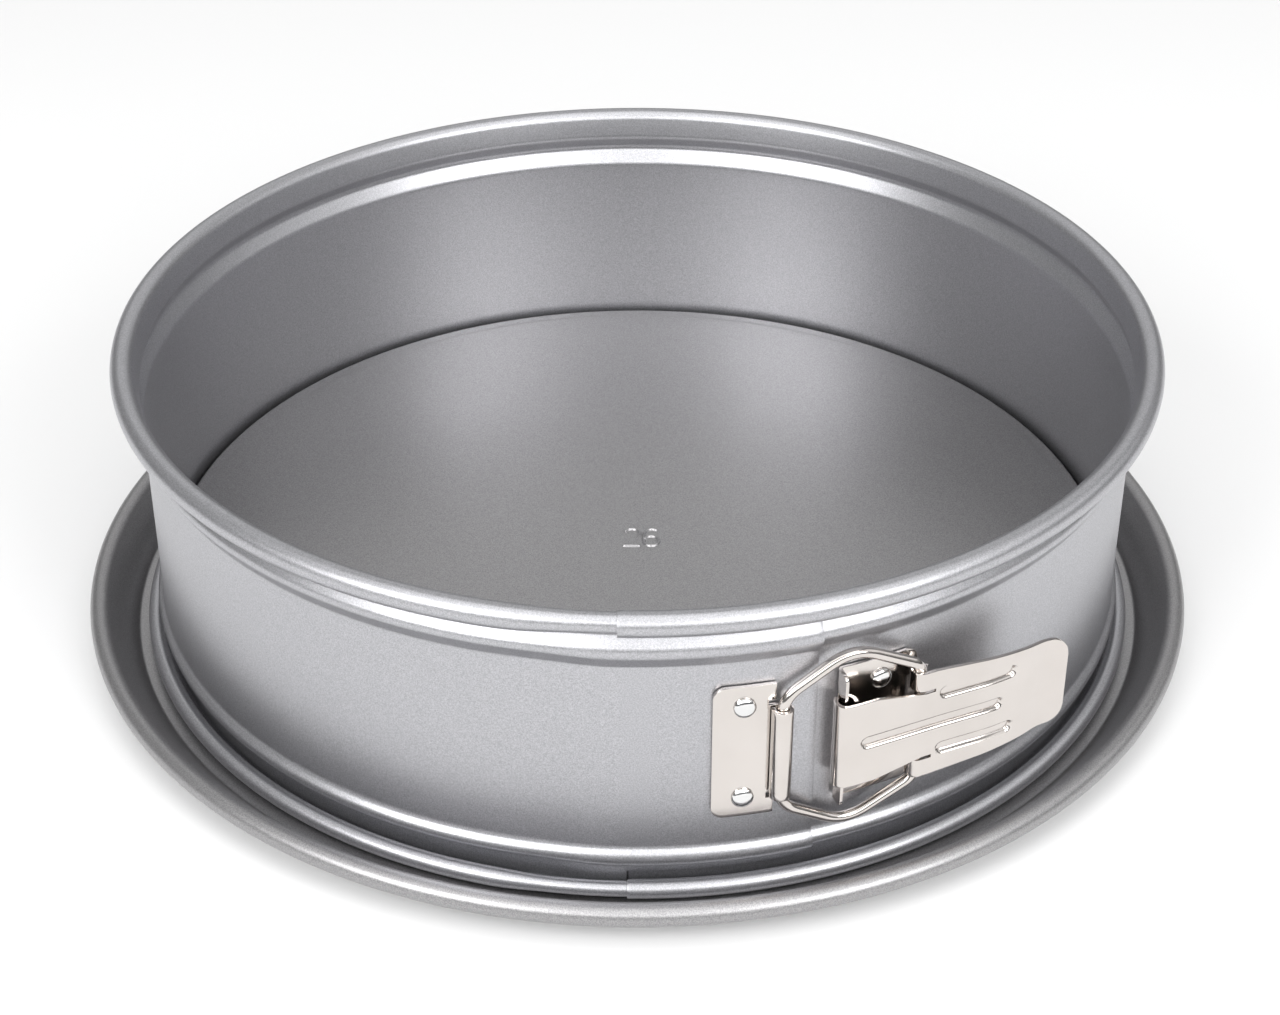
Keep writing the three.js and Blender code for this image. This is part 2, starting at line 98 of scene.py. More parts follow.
RING_SHEET = 0.4  # thinner than the CAD sheet, on the same outer faces
CAD_RING_SHEET = 0.6
SKIN = (CAD_RING_SHEET - RING_SHEET) / 2  # how far the sheet's middle lies outside the CAD's
WALL_RADIUS = 131.9 + SKIN
RING_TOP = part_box("ring_right")[1].z / MM
TOP_ROLL_BEND = 2.8 + SKIN
TOP_ROLL_RADIUS = 136.0
TOP_ROLL_Z = RING_TOP - TOP_ROLL_BEND - RING_SHEET / 2
TOP_ROLL_START = 167  # degrees round the roll, where the sloping collar runs into it
STEP_Z = 68.4
STEP_BEND = 3.0
BULGE_RADIUS = 134.9 + SKIN
BULGE_Z = 73.0
BULGE_BEND = 2.2
COLLAR_RADIUS = 132.0 + SKIN
COLLAR_Z = 77.2
COLLAR_BEND = 2.0
COLLAR_SLOPE = math.tan(math.radians(180 - TOP_ROLL_START))
LAP_TOP_Z = 78.7
BEAD_RADIUS = 131.6 + SKIN
BEAD_Z = 11.7
BEAD_BEND = 1.9
FLARE_Z = 15.4
FLARE_BEND = 3.0
NECK_RADIUS = 130.7 + SKIN
NECK_TOP_Z = 8.55
FOOT_BEND = 2.1 + SKIN
FOOT_Z = 3.4
FOOT_ROLL_RADIUS = 134.9

SEAM = 18.2  # azimuth of the strip's outer end, which laps over the inner one
TONGUE = -1.0  # azimuth of its inner end, where both rolls of the outer one slip inside
END_CORNER = 1.6
END_LEAN = 0.0105  # degrees for each millimetre of height
END_FADE = 3.0  # degrees over which the inner end's shape fades out
LAP_OFFSET = 0.9  # how far out the outer end's wall steps, from and to these azimuths
LAP_FROM, LAP_TO = -11, -2
TOP_SQUEEZE = 0.58  # how much smaller the outer end's rolls are, to slip inside the others
TOP_SQUEEZE_FROM, TOP_SQUEEZE_TO = -14, -4
TOP_SQUEEZE_LIFT = 0.3
FOOT_SQUEEZE = 0.45
FOOT_SQUEEZE_FROM, FOOT_SQUEEZE_TO = -15, -9
FINE_FROM = -17  # azimuth from which the outer end's mesh is finer
CORE_START, CORE_THIN, CORE_END = TONGUE - 0.3, TONGUE + 4, TONGUE + 7.5
BACK = 198.5  # azimuth where the two walls meet, in the middle of the bend opposite the latch
BACK_HALF = 8.0

LATCH_Z = joint["latch_lever"]["pos_m"][2] / MM
LATCH_SHEET = 1.0
PLATE_HALF = 18.9
RIVET_OFFSET = 13.2
RIVET_HEAD = 2.7
RIVET_DOME = 1.35
WIRE_RADIUS = 1.4

KEEPER_RADIUS = 133.4  # the plate's inner face
KEEPER_RIVETS = 10.54  # azimuth
KEEPER_HALF_WIDTH = 7.4
KNUCKLE = azimuth_of(joint["bail"]["pos_m"])
KNUCKLE_RADIUS = radius_of(joint["bail"]["pos_m"])
KNUCKLE_BEND = 2.1
KNUCKLE_HALF = 12.8
RELIEF = 1.6  # width of the cuts beside the knuckle
RELIEF_START = 5.6  # from the rivets' line
PLATE_CORNER = 3.0

BRACKET_SHEET = 0.8
BRACKET_RADIUS = 132.5  # the plate's inner face
BRACKET_RIVETS = 25.14  # azimuth
BRACKET_END = 29.38  # azimuth
PIVOT = azimuth_of(joint["latch_lever"]["pos_m"])
PIVOT_RADIUS = radius_of(joint["latch_lever"]["pos_m"])
FLANGE_REACH = 1.1  # half the depth of the bar that the lever turns on
WINDOW_HALF = 12.3  # half the height of the window that leaves that bar

CURL_BEND = 2.4
NARROW_HALF = 11.7  # half heights: the curl, the neck's end, the ears' inner edge, the handle's start and end
SHOULDER_HALF = 9.3
EAR_INNER = 10.2
WIDE_HALF = 15.2
TIP_HALF = 12.5
EAR = 28.86  # azimuth of the bail's short leg
EAR_RADIUS = 137.0
EAR_BEND = 2.0
SLOT_END = 29.9  # azimuth where the ears part from the neck
# The middle of the lever's sheet past its curl, as azimuths and radii.
LEVER_LINE = (
    (23.67, 138.8), (28.11, 138.9), (30.59, 139.3), (33.56, 140.3), (36.53, 141.6), (40, 142.7), (42.77, 143.1),
    (45.01, 145.8),
)
LEVER_SPACING = 0.3
LEVER_END_BEND = 2.2  # how far the bend before the lever's end reaches along the sheet
TIP_CORNER = 5.0
RIB_HALF = 2.0
RIB_HEIGHT = 1.0
RIB_EDGE = 0.75
RIB_SPACING = 8.2
RIBS = ((0, 21.8, 37.8), (RIB_SPACING, 30.3, 39.2), (-RIB_SPACING, 30.3, 39.2))  # height, start and end
SOLID_HALF = RIB_SPACING - 2.2  # rows of the lever's mesh nearer its middle than this stay level

# The upper half of the bail: distance from the knuckle's line towards the ears', height, and the bend's reach.
BAIL_LINE = ((0, 15.6, 4.5), (17, 25.6, 6.5))
BAIL_EAR_HEIGHT, BAIL_EAR_BEND = 16.4, 3.0

# ---------------------------------------------------------------- plane geometry


def outward(azimuth):
    a = math.radians(azimuth)
    return np.array([math.sin(a), -math.cos(a)])


def along(azimuth):
    a = math.radians(azimuth)
    return np.array([math.cos(a), math.sin(a)])


def polar(azimuth, radius):
    return outward(azimuth) * radius


def local(azimuth, radius, side, out):
    """A plan point given by its offset along and out from a place on a circle round the axis."""
    return polar(azimuth, radius + out) + along(azimuth) * side


def arc(x, y, radius, start, end, steps):
    angles = np.radians(np.linspace(start, end, steps + 1))
    return [np.array([x + radius * math.cos(a), y + radius * math.sin(a)]) for a in angles]


def bent(corners, steps):
    """An open line bent at its corners. A corner is its place and its bend's radius, 0 for none."""
    line = []
    for i, (x, y, bend) in enumerate(corners):
        corner = np.array([x, y])
        if not bend:
            line.append(corner)
            continue
        into = corner - corners[i - 1][:2]
        onward = np.array(corners[i + 1][:2]) - corner
        into, onward = into / np.linalg.norm(into), onward / np.linalg.norm(onward)
        turn = math.degrees(math.acos(float(into @ onward)))
        side = math.copysign(1, into[0] * onward[1] - into[1] * onward[0])
        inner = (onward - into) / np.linalg.norm(onward - into)
        centre = corner + inner * bend / math.cos(math.radians(turn / 2))
        start = math.degrees(math.atan2(-side * into[0], side * into[1]))
        line += arc(*centre, bend, start, start + side * turn, steps)
    return line


def smooth(value, start, end):
    t = min(max((value - start) / (end - start), 0.0), 1.0)
    return t * t * (3 - 2 * t)


def normals_of(line):
    """Unit normals to the left of an open line."""
    step = np.diff(line, axis=0)
    step /= np.linalg.norm(step, axis=1)[:, None]
    mean = np.vstack([step[:1], step[:-1] + step[1:], step[-1:]])
    mean /= np.linalg.norm(mean, axis=1)[:, None]
    return np.stack([-mean[:, 1], mean[:, 0]], axis=1)


def resampled(line, spacing):
    """An open line with points an even distance apart."""
    line = np.array(line, float)
    run = np.concatenate([[0], np.cumsum(np.linalg.norm(np.diff(line, axis=0), axis=1))])
    count = max(2, round(run[-1] / spacing) + 1)
    where = np.linspace(0, run[-1], count)
    return np.stack([np.interp(where, run, line[:, k]) for k in range(line.shape[1])], axis=1)


def curve_through(points, steps=8):
    """A Catmull-Rom curve through points."""
    points = [np.array(p, float) for p in points]
    ends = [2 * points[0] - points[1], *points, 2 * points[-1] - points[-2]]
    line = [points[0]]
    for a, b, c, d in zip(ends, ends[1:], ends[2:], ends[3:]):
        for i in range(1, steps + 1):
            t = i / steps
            line.append(
                0.5 * (2 * b + (c - a) * t + (2 * a - 5 * b + 4 * c - d) * t * t + (3 * b - a - 3 * c + d) * t ** 3)
            )
    return line


# ---------------------------------------------------------------- meshes


def new_object(name, vertices, faces):
    mesh = bpy.data.meshes.new(name)
    mesh.from_pydata([tuple(float(c) * MM for c in v) for v in vertices], [], faces)
    mesh.validate()
    piece = bpy.data.objects.new(name, mesh)
    bpy.context.scene.collection.objects.link(piece)
    return piece


def grid_faces(rows, columns, keep=None, start=0):
    faces = []
    for i in range(rows - 1):
        for j in range(columns - 1):
            if keep is None or keep(i, j):
                a = start + i * columns + j
                faces.append((a, a + columns, a + columns + 1, a + 1))
    return faces


def tube_faces(rows, sides, start=0):
    """Faces between rows of vertices that each close on themselves."""
    faces = []
    for i in range(rows - 1):
        for k in range(sides):
            a, b = start + i * sides + k, start + i * sides + (k + 1) % sides
            faces.append((a, b, b + sides, a + sides))
    return faces


def settle(piece):
    """Applies a piece's modifiers, so that its mesh is final."""
    graph = bpy.context.evaluated_depsgraph_get()
    mesh = bpy.data.meshes.new_from_object(piece.evaluated_get(graph))
    piece.modifiers.clear()
    piece.data = mesh
    return piece


def finish_solid(piece, merge=0.0):
    """Faces a closed mesh outwards and shades it smooth, apart from its flat ends."""
    work = bmesh.new()
    work.from_mesh(piece.data)
    if merge:
        bmesh.ops.remove_doubles(work, verts=work.verts, dist=merge * MM)
    bmesh.ops.recalc_face_normals(work, faces=work.faces)
    for edge in work.edges:
        if any(len(face.verts) > 4 for face in edge.link_faces):
            edge.smooth = False
    work.to_mesh(piece.data)
    work.free()
    piece.data.shade_smooth()


def finish_sheet(piece, thickness, edge=0.1, merge=0.002, joined=None):
    """Gives a middle surface its thickness and rounded edges. joined is the azimuth of an end that carries on
    into another piece, which stays sharp."""
    work = bmesh.new()
    work.from_mesh(piece.data)
    bmesh.ops.remove_doubles(work, verts=work.verts, dist=merge * MM)
    loose = [v for v in work.verts if not v.link_faces]
    bmesh.ops.delete(work, geom=loose, context="VERTS")
    bmesh.ops.recalc_face_normals(work, faces=work.faces)
    work.to_mesh(piece.data)
    work.free()
    thick = piece.modifiers.new("thickness", "SOLIDIFY")
    thick.thickness = thickness * MM
    thick.offset = 0
    thick.use_even_offset = True
    settle(piece)
    work = bmesh.new()
    work.from_mesh(piece.data)
    corners = [e for e in work.edges if len(e.link_faces) == 2 and e.calc_face_angle() > math.radians(50)]
    if joined is not None:
        ahead = along(joined)
        kept = [e for e in corners if all(abs(v.co.x * ahead[0] + v.co.y * ahead[1]) < 0.01 * MM for v in e.verts)]
        for e in kept:
            e.smooth = False
        corners = [e for e in corners if e.smooth]
    bmesh.ops.bevel(
        work, geom=corners, offset=edge * MM, segments=2, profile=0.5, affect="EDGES", clamp_overlap=True,
    )
    work.to_mesh(piece.data)
    work.free()
    for face in piece.data.polygons:
        face.use_smooth = True
    return piece


# ---------------------------------------------------------------- materials


class Nodes:
    """Short-hand for building one material's node tree."""

    def __init__(self, name):
        self.material = bpy.data.materials.new(name)
        self.material.use_nodes = True
        self.tree = self.material.node_tree
        self.shader = self.tree.nodes["Principled BSDF"]
        place = self.tree.nodes.new("ShaderNodeTexCoord")
        self.place = place.outputs["Object"]

    def noise(self, scale, detail=2.0, roughness=0.5):
        node = self.tree.nodes.new("ShaderNodeTexNoise")
        node.inputs["Scale"].default_value = scale
        node.inputs["Detail"].default_value = detail
        node.inputs["Roughness"].default_value = roughness
        self.tree.links.new(self.place, node.inputs["Vector"])
        return node.outputs["Fac"]

    def spread(self, value, low, high, start=0.3, end=0.7):
        node = self.tree.nodes.new("ShaderNodeMapRange")
        node.inputs["From Min"].default_value = start
        node.inputs["From Max"].default_value = end
        node.inputs["To Min"].default_value = low
        node.inputs["To Max"].default_value = high
        self.tree.links.new(value, node.inputs["Value"])
        return node.outputs["Result"]

    def maths(self, operation, a, b):
        node = self.tree.nodes.new("ShaderNodeMath")
        node.operation = operation
        for socket, value in zip(node.inputs, (a, b)):
            if isinstance(value, (int, float)):
                socket.default_value = value
            else:
                self.tree.links.new(value, socket)
        return node.outputs["Value"]

    def tint(self, factor, dark, light):
        node = self.tree.nodes.new("ShaderNodeMix")
        node.data_type = "RGBA"
        node.inputs[6].default_value = (*dark, 1)
        node.inputs[7].default_value = (*light, 1)
        self.tree.links.new(factor, node.inputs[0])
        return node.outputs[2]

    def bump(self, height, distance, strength=1.0, below=None):
        node = self.tree.nodes.new("ShaderNodeBump")
        node.inputs["Strength"].default_value = strength
        node.inputs["Distance"].default_value = distance
        self.tree.links.new(height, node.inputs["Height"])
        if below is not None:
            self.tree.links.new(below, node.inputs["Normal"])
        return node.outputs["Normal"]

    def set(self, **inputs):
        for name, value in inputs.items():
            socket = self.shader.inputs[name.replace("_", " ")]
            if isinstance(value, (int, float)):
                socket.default_value = value
            else:
                self.tree.links.new(value, socket)
        return self.material


def coating_material(name, dark, light, rough):
    """Silver-grey non-stick coating: satin, with fine metallic flakes."""
    nodes = Nodes(name)
    grain = nodes.noise(2600, 2.0, 0.6)
    flakes = nodes.noise(5200, 1.0, 0.5)
    cloud = nodes.noise(14, 3.0)
    speckle = nodes.maths("ADD", nodes.maths("MULTIPLY", grain, 0.6), nodes.maths("MULTIPLY", flakes, 0.4))
    shade = nodes.spread(speckle, 0.0, 1.0, 0.38, 0.62)
    colour = nodes.tint(shade, dark, light)
    roughness = nodes.maths(
        "ADD", nodes.spread(cloud, rough - 0.02, rough + 0.02), nodes.spread(grain, -0.03, 0.03),
    )
    normal = nodes.bump(speckle, 0.00006, 0.5)
    return nodes.set(Base_Color=colour, Metallic=0.95, Roughness=roughness, Normal=normal)


def nickel_material(name, light, dark, rough):
    """Bright nickel plate, slightly warm, with the faint unevenness of plated sheet."""
    nodes = Nodes(name)
    cloud = nodes.noise(60, 3.0)
    fine = nodes.noise(900, 2.0)
    colour = nodes.tint(nodes.spread(cloud, 0.0, 1.0), dark, light)
    roughness = nodes.maths(
        "ADD", nodes.spread(cloud, rough - 0.02, rough + 0.02), nodes.spread(fine, -0.015, 0.015),
    )
    normal = nodes.bump(fine, 0.00001, 0.35, nodes.bump(cloud, 0.0001, 0.25))
    return nodes.set(Base_Color=colour, Metallic=1.0, Roughness=roughness, Normal=normal)


COATING = coating_material("coating", (0.375, 0.375, 0.392), (0.545, 0.545, 0.568), 0.37)
# The base plate wears a darker copy of the ring's coating. The darkening is painted shade, for the shade in the gap
# between the ring's foot roll and the base's rim.
BASE_COATING_PAINTED_SHADE = coating_material("base_coating_painted_shade", (0.29, 0.286, 0.29), (0.43, 0.424, 0.43), 0.40)
NICKEL = nickel_material("nickel", (0.67, 0.63, 0.60), (0.62, 0.58, 0.55), 0.14)
RIVET = nickel_material("rivet", (0.78, 0.78, 0.775), (0.70, 0.70, 0.70), 0.13)


def dress(piece, material, body):
    piece.data.materials.clear()
    piece.data.materials.append(material)
    if body:
        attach(piece, body)
    return piece


# ---------------------------------------------------------------- base plate


def base_line():
    """Middle of the base's sheet from the floor's centre to the rim roll's free edge."""
    floor = FLOOR_Z - BASE_SHEET / 2
    border = floor - FLOOR_BORDER_DROP
    border_start = FLOOR_BORDER_RADIUS - FLOOR_BORDER_LEAD
    edge_bend, skirt_bend, foot_bend = 1.2, 0.9, 1.5
    edge = FLOOR_EDGE_RADIUS - BASE_SHEET / 2
    skirt = FLOOR_RADIUS - BASE_SHEET / 2
    foot = BASE_SHEET / 2
    return np.array([
        *[(r, floor) for r in np.linspace(0, border_start, 12)],
        *[
            (border_start + FLOOR_BORDER_WIDTH * t, floor - FLOOR_BORDER_DROP * smooth(t, 0, 1))
            for t in np.linspace(0.2, 1, 5)
        ],
        *arc(edge - edge_bend, border - edge_bend, edge_bend, 90, 0, 7),
        (edge - 0.1, border - edge_bend - FLOOR_LIP_START),
        (skirt + 0.1, border - edge_bend - FLOOR_LIP_END),
        *arc(skirt + skirt_bend, foot + skirt_bend, skirt_bend, 180, 270, 6),
        *arc(RIM_FOOT_RADIUS, foot + foot_bend, foot_bend, -90, RIM_SLOPE - 90, 6),
        *arc(RIM_ROLL_RADIUS, RIM_ROLL_Z, RIM_ROLL_BEND, 90 + RIM_SLOPE, -120, 26),
    ])


def base_plate():
    line = base_line()
    turns = 320
    vertices, count = [], len(line)
    for i in range(turns):
        direction = outward(360 * i / turns)
        vertices += [(*(direction * radius), z) for radius, z in line]
    faces = []
    for i in range(turns):
        a, b = i * count, (i + 1) % turns * count
        faces += [(a + j, b + j, b + j + 1, a + j + 1) for j in range(count - 1)]
    piece = new_object("base_plate_visual", vertices, faces)
    finish_sheet(piece, BASE_SHEET, edge=0.12)
    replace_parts(piece, "base_plate")
    return dress(piece, BASE_COATING_PAINTED_SHADE, "base")


def floor_numeral():
    """The pan's nominal size, 26, pressed up out of the floor in soft round strokes."""
    two = [
        *arc(0, 6.75, 2.1, 165, -25, 14),
        *curve_through([(1.55, 5.3), (0.6, 3.9), (-1.0, 2.1), (-2.2, 0.45)], 5),
        (0.0, 0.45),
        (2.3, 0.45),
    ]
    six = [
        *curve_through([(1.7, 8.05), (0.5, 8.75), (-0.9, 8.35), (-1.85, 6.9), (-2.2, 4.6), (-2.05, 2.6)], 6),
        *[
            (-0.02 + 2.1 * math.cos(t), 2.85 + 2.4 * math.sin(t))
            for t in np.radians(np.linspace(190, 520, 30))
        ],
    ]
    vertices, faces = [], []
    for stroke, middle in ((two, -1.45), (six, 3.95)):
        line = resampled(np.array(stroke) + (middle, NUMERAL_Y), NUMERAL_SPACING)
        sideways = normals_of(line)
        run = np.arange(len(line)) * NUMERAL_SPACING
        start = len(vertices)
        across = np.linspace(-1, 1, 13)
        for point, side, at in zip(line, sideways, run):
            end = min(at, run[-1] - at)
            taper = math.sqrt(max(1 - max(1 - end / NUMERAL_HALF, 0) ** 2, 0.02))
            for t in across:
                x, y = point + side * t * NUMERAL_HALF * taper
                height = NUMERAL_HEIGHT * taper * (math.cos(math.pi * t) + 1) / 2
                vertices.append((x, y, FLOOR_Z + height - 0.01))
        faces += grid_faces(len(line), len(across), None, start)
    piece = new_object("floor_numeral", vertices, faces)
    finish_sheet(piece, thickness=0.04, edge=0.005)
    return dress(piece, BASE_COATING_PAINTED_SHADE, "base")


# ---------------------------------------------------------------- ring


def ring_line(top_bend=TOP_ROLL_BEND, foot_bend=FOOT_BEND, offset=0.0, top_lift=0.0):
    """Middle of the ring's sheet from the foot roll's free edge to the top roll's, and which points are wall."""
    wall = np.array([
        (NECK_RADIUS, 6.4),
        (NECK_RADIUS, NECK_TOP_Z),
        *arc(BEAD_RADIUS, BEAD_Z, BEAD_BEND, -65, 40, 10),
        *arc(WALL_RADIUS + FLARE_BEND, FLARE_Z, FLARE_BEND, 220, 180, 6),
        *[(WALL_RADIUS, z) for z in (22, 30, 40, 50, 60)],
        *bent([
            (WALL_RADIUS, 65, 0),
            (WALL_RADIUS, STEP_Z, STEP_BEND),
            (BULGE_RADIUS, BULGE_Z, BULGE_BEND),
            (COLLAR_RADIUS, COLLAR_Z, COLLAR_BEND),
            (COLLAR_RADIUS + (LAP_TOP_Z - COLLAR_Z) * COLLAR_SLOPE, LAP_TOP_Z, 0),
        ], 7),
    ])
    wall = wall - normals_of(wall) * offset
    foot = [
        *arc(FOOT_ROLL_RADIUS, FOOT_Z, foot_bend, 135, -90, 16),
        *arc(NECK_RADIUS + offset + foot_bend, FOOT_Z, foot_bend, 270, 180, 6),
    ]
    top = arc(TOP_ROLL_RADIUS, TOP_ROLL_Z + top_lift, top_bend, TOP_ROLL_START, -105, 26)
    is_wall = [False] * len(foot) + [True] * len(wall) + [False] * len(top)
    return np.vstack([foot, wall, top]), np.array(is_wall)


def strip(name, stations, section, keep, corner=0.0, lean=0.0, joined=None):
    """The ring's sheet between azimuths. At its first station, corner rounds the strip's corners and lean is how
    many degrees the end leans back for each millimetre of height."""
    lines = [section(a) for a in stations]
    count = len(lines[0][0])
    vertices = []
    for azimuth, (line, _) in zip(stations, lines):
        run = np.concatenate([[0], np.cumsum(np.linalg.norm(np.diff(line, axis=0), axis=1))])
        edge = np.minimum(run, run[-1] - run)
        back = corner - np.sqrt(np.maximum(corner ** 2 - np.maximum(corner - edge, 0) ** 2, 0))
        fade = max(0.0, 1 - (azimuth - stations[0]) / END_FADE)
        for (radius, z), shift in zip(line, back):
            turn = math.degrees(shift / radius) - lean * z
            vertices.append((*(outward(azimuth + turn * fade) * radius), z))
    faces = grid_faces(len(stations), count, lambda i, j: keep(i, j, lines))
    piece = new_object(name, vertices, faces)
    return finish_sheet(piece, RING_SHEET, 0.08, joined=joined)


def left_section(azimuth):
    """The outer end's strip steps out over the inner end's, and its rolls shrink to slip inside the others."""
    offset = LAP_OFFSET * smooth(azimuth, LAP_FROM, LAP_TO)
    squeeze = smooth(azimuth, TOP_SQUEEZE_FROM, TOP_SQUEEZE_TO)
    foot_bend = FOOT_BEND - FOOT_SQUEEZE * smooth(azimuth, FOOT_SQUEEZE_FROM, FOOT_SQUEEZE_TO)
    return ring_line(TOP_ROLL_BEND - TOP_SQUEEZE * squeeze, foot_bend, offset, TOP_SQUEEZE_LIFT * squeeze)


def wall_left():
    """The strip from the back to its outer end. Past the rolls' end only its wall goes on."""
    end = TONGUE - 0.12
    stations = [
        BACK - 360, BACK - 360 + 0.05,
        *np.arange(BACK - 360 + 1, BACK - 360 + BACK_HALF, 1.0),
        *np.arange(BACK - 360 + BACK_HALF, FINE_FROM, 1.25),
        *np.linspace(FINE_FROM, end, 33),
        *np.linspace(end, SEAM, 20)[1:],
    ]

    def keep(i, j, lines):
        is_wall = lines[0][1]
        return stations[i] < end - 0.01 or (is_wall[j] and is_wall[j + 1])

    piece = strip("wall_left", stations, left_section, keep, joined=BACK)
    dress(piece, COATING, None)
    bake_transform(piece)
    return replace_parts(piece, "ring_left")


def wall_right():
    """The strip from its inner end to the back."""
    stations = [
        *np.linspace(TONGUE, TONGUE + 3, 13),
        *np.arange(TONGUE + 4, BACK - BACK_HALF, 1.25),
        *np.linspace(BACK - BACK_HALF, BACK - 1, 8),
        BACK - 0.05, BACK,
    ]
    piece = strip(
        "wall_right", stations, lambda azimuth: ring_line(), lambda i, j, lines: True, END_CORNER, END_LEAN, BACK,
    )
    dress(piece, COATING, None)
    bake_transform(piece)
    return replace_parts(piece, "ring_right", "ring_back")


def roll_core(name, radius, z, start_bend, tip_bend, inward):
    """The outer end's roll where it tapers, moves inward and runs on inside the inner end's roll."""
    stations = np.linspace(CORE_START, CORE_END, 28)
    sides = 20
    vertices = []
    for azimuth in stations:
        t = smooth(azimuth, CORE_START, CORE_THIN)
        thick = start_bend + (tip_bend - start_bend) * t
        middle = radius - inward * t
        for k in range(sides):
            angle = 2 * math.pi * k / sides
            vertices.append((
                *polar(azimuth, middle + thick * math.cos(angle)),
                z + thick * math.sin(angle),
            ))
    rows = len(stations)
    faces = tube_faces(rows, sides)
    faces.append(tuple(range(sides)))
    faces.append(tuple(range((rows - 1) * sides, rows * sides))[::-1])
    piece = new_object(name, vertices, faces)
    finish_solid(piece)
    return dress(piece, COATING, "ring_left")


# ---------------------------------------------------------------- latch plates


def plate_piece(name, path, rows, keep, squeeze, thickness, edge=0.14):
    """Sheet metal that follows a plan path between heights. keep(i, j) picks its cells and squeeze(i, z) rounds
    its corners."""
    vertices = []
    for i, (x, y) in enumerate(path):
        vertices += [(x, y, LATCH_Z + squeeze(i, z)) for z in rows]
    faces = grid_faces(len(path), len(rows), keep)
    piece = new_object(name, vertices, faces)
    return finish_sheet(piece, thickness, edge)


def symmetric(*heights):
    """Rows of heights from a mirrored list of (height, number of cells up to it)."""
    upper = [0.0]
    for height, cells in heights:
        upper += list(np.linspace(upper[-1], height, cells + 1)[1:])
    return np.array([-z for z in upper[:0:-1]] + upper)


def corner_limit(distance, radius, half):
    """Half height at a distance from a plate's end, for corners of one radius."""
    if distance >= radius:
        return half
    return half - radius + math.sqrt(max(radius ** 2 - (radius - distance) ** 2, 0))


def rounded_rows(limit, z, half, hold):
    """Moves a row inwards so that the outermost one lies at the limit. Rows inside hold stay where they are."""
    if abs(z) <= hold:
        return z
    share = (abs(z) - hold) / (half - hold)
    return math.copysign(hold + share * (limit - hold), z)


def keeper_plate():
    """The plate riveted to the outer end, whose middle rolls up into the bail's knuckle."""
    middle = KEEPER_RADIUS + LATCH_SHEET / 2
    reach = math.degrees(KEEPER_HALF_WIDTH / KEEPER_RADIUS)
    left, right = KEEPER_RIVETS - reach, KEEPER_RIVETS + reach
    cut = KEEPER_RIVETS + math.degrees(RELIEF_START / KEEPER_RADIUS)
    fine = math.degrees(PLATE_CORNER / KEEPER_RADIUS)
    azimuths = [
        *(left + fine * (1 - math.cos(t)) for t in np.linspace(0, math.pi / 2, 9)),
        *np.linspace(left + fine, cut, 14)[1:],
        *np.linspace(cut, right, 4)[1:],
    ]
    plate = [polar(a, middle) for a in azimuths]
    knuckle = [
        local(KNUCKLE, KNUCKLE_RADIUS, p[0], p[1])
        for p in arc(0, 0, KNUCKLE_BEND, -90, 205, 34)
    ]
    rows = symmetric((KNUCKLE_HALF, 10), (KNUCKLE_HALF + RELIEF, 1), (PLATE_HALF, 5))
    heights = (rows[:-1] + rows[1:]) / 2
    first_relief = len(azimuths) - 4

    def keep(i, j):
        if abs(heights[j]) < KNUCKLE_HALF:
            return True
        if i >= len(plate) - 1:
            return False
        return i < first_relief or abs(heights[j]) > KNUCKLE_HALF + RELIEF

    def squeeze(i, z):
        if i >= len(plate):
            return z
        limit = corner_limit(math.radians(azimuths[i] - left) * KEEPER_RADIUS, PLATE_CORNER, PLATE_HALF)
        return rounded_rows(limit, z, PLATE_HALF, KNUCKLE_HALF)

    piece = plate_piece("keeper_plate_visual", plate + knuckle, rows, keep, squeeze, LATCH_SHEET, 0.16)
    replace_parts(piece, "keeper_plate")
    return dress(piece, NICKEL, "ring_left")


def latch_bracket():
    """The plate riveted behind the lever, with a flange whose bar the lever's curl turns on."""
    middle = BRACKET_RADIUS + BRACKET_SHEET / 2
    bend = 0.9
    flange_side = -BRACKET_SHEET / 2
    tip = PIVOT_RADIUS + FLANGE_REACH
    flange_corner = 1.5
    flange = [
        local(PIVOT, radius, flange_side, 0)
        for radius in (
            *(tip - flange_corner * (1 - math.cos(t)) for t in np.linspace(0, math.pi / 2, 6)),
            PIVOT_RADIUS - FLANGE_REACH,
            BRACKET_RADIUS + 2.3,
            BRACKET_RADIUS + 1.7,
        )
    ]
    fold = [
        local(PIVOT, middle, flange_side + bend + p[0], bend + p[1])
        for p in arc(0, 0, bend, 180, 270, 6)
    ]
    start = PIVOT + math.degrees((flange_side + bend) / middle)
    fine = math.degrees(PLATE_CORNER / middle)
    azimuths = [
        *np.linspace(start, BRACKET_END - fine, 18)[1:],
        *(BRACKET_END - fine * (1 - math.sin(t)) for t in np.linspace(0, math.pi / 2, 9)[1:]),
    ]
    plate = [polar(a, middle) for a in azimuths]
    path = flange + fold + plate
    rows = symmetric((WINDOW_HALF, 10), (PLATE_HALF - PLATE_CORNER, 3), (PLATE_HALF, 5))
    heights = (rows[:-1] + rows[1:]) / 2
    window_start, window_end = 6, len(flange)

    def keep(i, j):
        return not (window_start <= i < window_end and abs(heights[j]) < WINDOW_HALF)

    def squeeze(i, z):
        if i < len(flange):
            out = tip - radius_of(np.array(path[i]) * MM)
            limit = corner_limit(max(out, 0), flange_corner, PLATE_HALF)
        elif i >= len(flange) + len(fold):
            past = math.radians(BRACKET_END - azimuths[i - len(flange) - len(fold)]) * middle
            limit = corner_limit(past, PLATE_CORNER, PLATE_HALF)
        else:
            limit = PLATE_HALF
        return rounded_rows(limit, z, PLATE_HALF, PLATE_HALF - PLATE_CORNER)

    piece = plate_piece("latch_bracket_visual", path, rows, keep, squeeze, BRACKET_SHEET)
    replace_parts(piece, "latch_bracket")
    return dress(piece, NICKEL, "ring_right")


